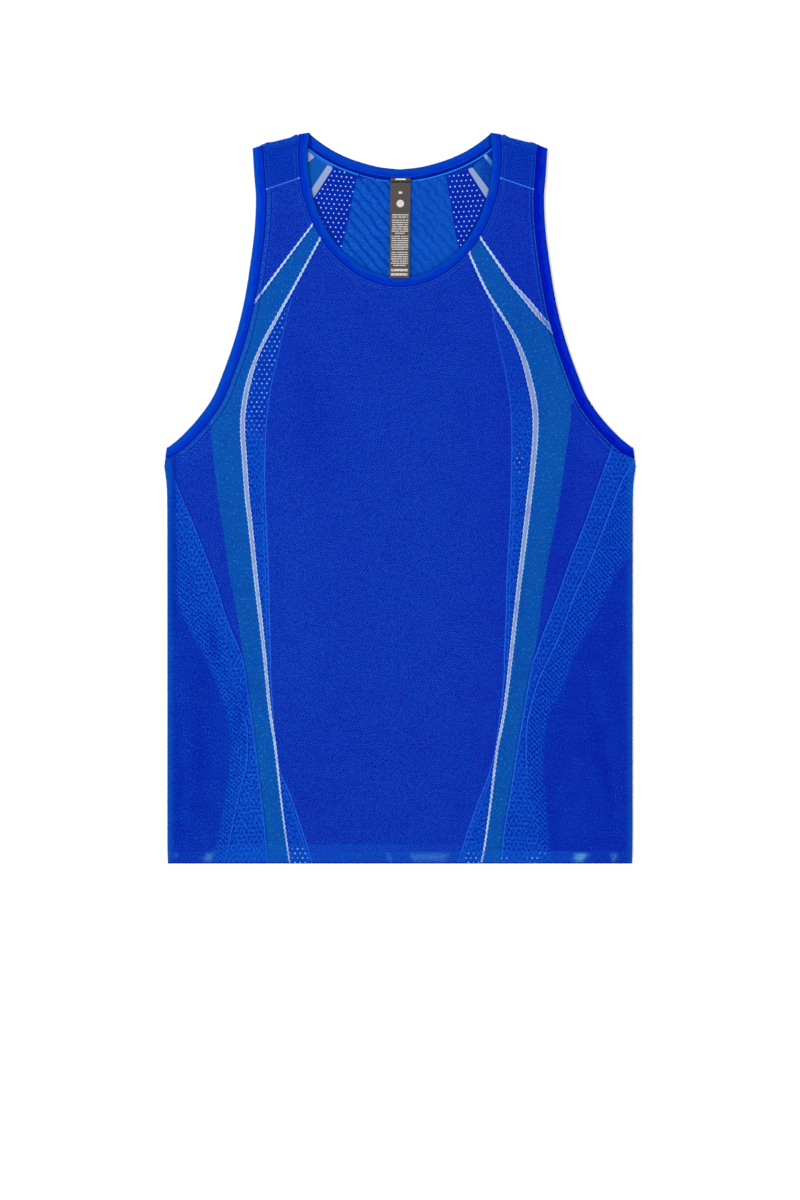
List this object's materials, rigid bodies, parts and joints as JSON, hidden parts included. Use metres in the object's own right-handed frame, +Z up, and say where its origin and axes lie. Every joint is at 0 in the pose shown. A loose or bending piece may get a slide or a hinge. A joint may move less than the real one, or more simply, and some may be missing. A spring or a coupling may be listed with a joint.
{
  "type": "running singlet",
  "caption": "Sleeveless knitted running singlet laid out flat, with a deep round neck, cut-away armholes, bound edges and an inner care label.",
  "frame": {"origin": "middle of the footprint, on the surface that the garment lies on", "axes": "+X across the chest towards the right of the picture, +Y from the hem towards the shoulders, +Z up off the surface, out of the garment's front"},
  "size_m": [0.4704, 0.7308, 0.0044],
  "materials": {
    "front_knit": "fine twill-faced jacquard knit, matt",
    "back_knit": "jacquard knit with eyelet mesh, matt",
    "binding": "smooth stretch binding",
    "label": "woven satin label"
  },
  "bodies": {
    "root": {"front_panel": "front_knit", "back_panel": "back_knit", "neck_band": "binding", "arm_band_left": "binding", "arm_band_right": "binding", "care_label": "label"}
  },
  "joints": []
}
